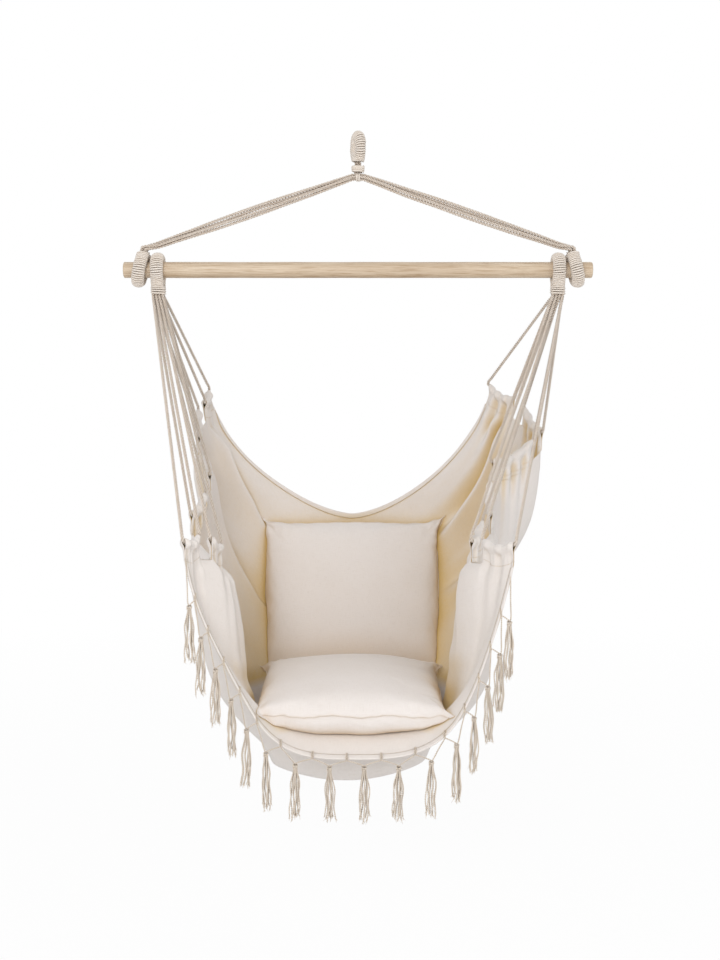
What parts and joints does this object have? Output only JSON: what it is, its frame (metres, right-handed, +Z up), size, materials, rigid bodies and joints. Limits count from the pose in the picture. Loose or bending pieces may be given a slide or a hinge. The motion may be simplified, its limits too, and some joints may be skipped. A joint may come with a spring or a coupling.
{
  "type": "hammock chair",
  "caption": "Hanging cloth seat with loose cushions and a tassel fringe, carried by cords from a wooden spreader bar under a rope hanging eye.",
  "frame": {"origin": "the point inside the top of the hanging eye where a hook bears", "axes": "+Z up, +X along the spreader bar, -Y the way the sitter faces"},
  "size_m": [1, 0.6569, 1.3925],
  "materials": {
    "canvas": "woven, matt",
    "cushion_cloth": "woven, matt",
    "rope": "twisted cotton, matt",
    "whipping_cord": "twisted cotton, matt",
    "fringe_yarn": "twisted cotton, matt",
    "beech": "sanded, clear oiled"
  },
  "bodies": {
    "hanging_eye": {"eye_core": "rope", "eye_whipping": "whipping_cord"},
    "inner_neck": {"neck_seizing_inner": "rope"},
    "outer_neck": {"neck_seizing_outer": "rope", "neck_whipping": "whipping_cord"},
    "suspension": {"rope_crossing": "rope", "suspension_strand_left_1": "rope", "suspension_strand_left_2": "rope", "suspension_strand_left_3": "rope", "suspension_strand_left_4": "rope", "suspension_strand_right_1": "rope", "suspension_strand_right_2": "rope", "suspension_strand_right_3": "rope", "suspension_strand_right_4": "rope", "bearing_loop_left_core": "rope", "bearing_loop_left_whipping": "whipping_cord", "bearing_loop_right_core": "rope", "bearing_loop_right_whipping": "whipping_cord"},
    "bar": {"spreader_bar": "beech"},
    "seat": {"seat_loop_left_core": "rope", "seat_loop_left_whipping": "whipping_cord", "seat_loop_right_core": "rope", "seat_loop_right_whipping": "whipping_cord", "seat_neck_left": "rope", "seat_neck_right": "rope", "seat_cord_left_1": "rope", "seat_cord_left_2": "rope", "seat_cord_left_3": "rope", "seat_cord_left_4": "rope", "seat_cord_left_5": "rope", "seat_cord_left_6": "rope", "seat_cord_right_1": "rope", "seat_cord_right_2": "rope", "seat_cord_right_3": "rope", "seat_cord_right_4": "rope", "seat_cord_right_5": "rope", "seat_cord_right_6": "rope", "sling": "canvas", "fringe_cord": "fringe_yarn", "tassel_01": "fringe_yarn", "tassel_02": "fringe_yarn", "tassel_03": "fringe_yarn", "tassel_04": "fringe_yarn", "tassel_05": "fringe_yarn", "tassel_06": "fringe_yarn", "tassel_07": "fringe_yarn", "tassel_08": "fringe_yarn", "tassel_09": "fringe_yarn", "tassel_10": "fringe_yarn", "tassel_11": "fringe_yarn", "tassel_12": "fringe_yarn", "tassel_13": "fringe_yarn", "tassel_14": "fringe_yarn", "tassel_15": "fringe_yarn", "tassel_16": "fringe_yarn"},
    "loose_seat_cushion": {"seat_cushion": "cushion_cloth"},
    "loose_back_cushion": {"back_cushion": "cushion_cloth"}
  },
  "joints": [
    {"name": "eye_swing", "type": "hinge", "parent": "hanging_eye", "child": "inner_neck", "pos_m": [0, 0, -0.046], "axis": [1, 0, 0], "range_deg": [-20, 20]},
    {"name": "eye_sway", "type": "hinge", "parent": "inner_neck", "child": "outer_neck", "pos_m": [0, 0, -0.046], "axis": [0, 1, 0], "range_deg": [-15, 15]},
    {"name": "rope_swivel", "type": "hinge", "parent": "outer_neck", "child": "suspension", "pos_m": [0, 0, -0.065], "axis": [0, 0, 1], "range_deg": [-180, 180], "stiffness_Nm_per_rad": 0.3},
    {"name": "bar_roll", "type": "hinge", "parent": "suspension", "child": "bar", "pos_m": [0, 0, -0.2697], "axis": [1, 0, 0], "continuous": true},
    {"name": "seat_tilt", "type": "hinge", "parent": "suspension", "child": "seat", "pos_m": [0, 0, -0.2697], "axis": [1, 0, 0], "range_deg": [-20, 20]},
    {"name": "seat_cushion_lift", "type": "slide", "parent": "seat", "child": "loose_seat_cushion", "axis": [0, -0.3, 0.9539], "range_m": [0, 0.25]},
    {"name": "back_cushion_lift", "type": "slide", "parent": "seat", "child": "loose_back_cushion", "axis": [0, 0, 1], "range_m": [0, 0.3]}
  ]
}
